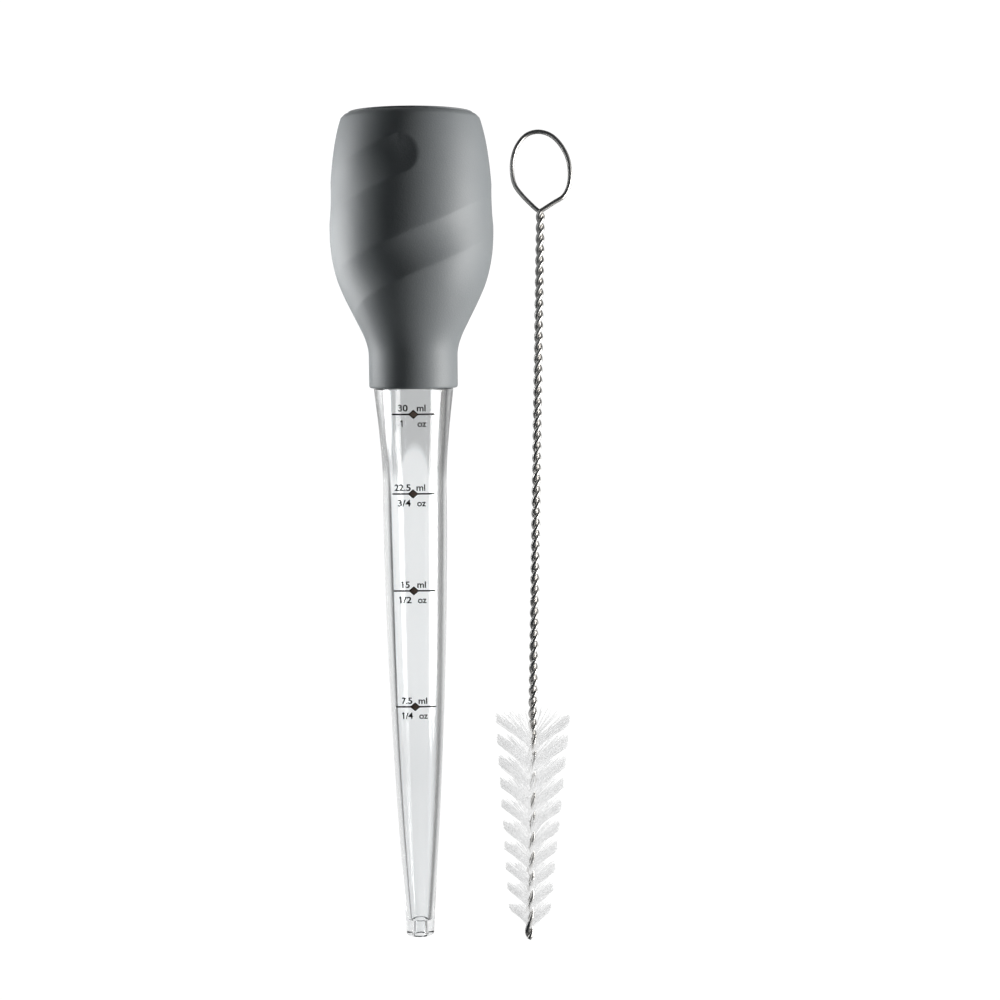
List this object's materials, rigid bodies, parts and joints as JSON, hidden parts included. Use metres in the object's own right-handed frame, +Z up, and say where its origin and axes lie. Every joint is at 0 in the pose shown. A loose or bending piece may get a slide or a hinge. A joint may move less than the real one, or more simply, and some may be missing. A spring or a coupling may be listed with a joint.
{
  "type": "squeeze bulb baster with cleaning brush",
  "caption": "Clear tapered graduated tube with an orifice tip, plugged into a grey squeeze bulb; beside it a twisted-wire brush with a finger loop and stepped bristle tufts.",
  "frame": {"origin": "on the table under the middle of the set's bounding box, both tools lying down", "axes": "+Y along the tools, from the tube's tip towards the bulb and the brush's finger loop; +X from the baster towards the brush; +Z up from the table"},
  "size_m": [0.0852, 0.2922, 0.0579],
  "materials": {
    "clear_plastic": "clear moulded plastic, polished, dark printed scale",
    "grey_silicone": "matte moulded silicone",
    "polished_steel": "bright drawn stainless wire",
    "white_nylon": "translucent white bristle"
  },
  "bodies": {
    "baster": {"baster_tube": "clear_plastic"},
    "bulb": {"squeeze_bulb": "grey_silicone"},
    "press_wall": {"bulb_press_wall": "grey_silicone"},
    "brush": {"brush_wire": "polished_steel", "bristle_tuft_right_01": "white_nylon", "bristle_tuft_right_02": "white_nylon", "bristle_tuft_right_03": "white_nylon", "bristle_tuft_right_04": "white_nylon", "bristle_tuft_right_05": "white_nylon", "bristle_tuft_right_06": "white_nylon", "bristle_tuft_right_07": "white_nylon", "bristle_tuft_right_08": "white_nylon", "bristle_tuft_right_09": "white_nylon", "bristle_tuft_right_10": "white_nylon", "bristle_tuft_left_01": "white_nylon", "bristle_tuft_left_02": "white_nylon", "bristle_tuft_left_03": "white_nylon", "bristle_tuft_left_04": "white_nylon", "bristle_tuft_left_05": "white_nylon", "bristle_tuft_left_06": "white_nylon", "bristle_tuft_left_07": "white_nylon", "bristle_tuft_left_08": "white_nylon", "bristle_tuft_left_09": "white_nylon", "bristle_tuft_left_10": "white_nylon"}
  },
  "joints": [
    {"name": "bulb_pull", "type": "slide", "parent": "baster", "child": "bulb", "axis": [-0.0083, 0.9955, 0.0948], "range_m": [0, 0.03]},
    {"name": "bulb_squeeze", "type": "slide", "parent": "bulb", "child": "press_wall", "axis": [-0.0008, 0.0948, -0.9955], "range_m": [0, 0.01], "stiffness_N_per_m": 500},
    {"name": "brush_lift", "type": "slide", "parent": "baster", "child": "brush", "axis": [0, 0, 1], "range_m": [0, 0.08]}
  ]
}
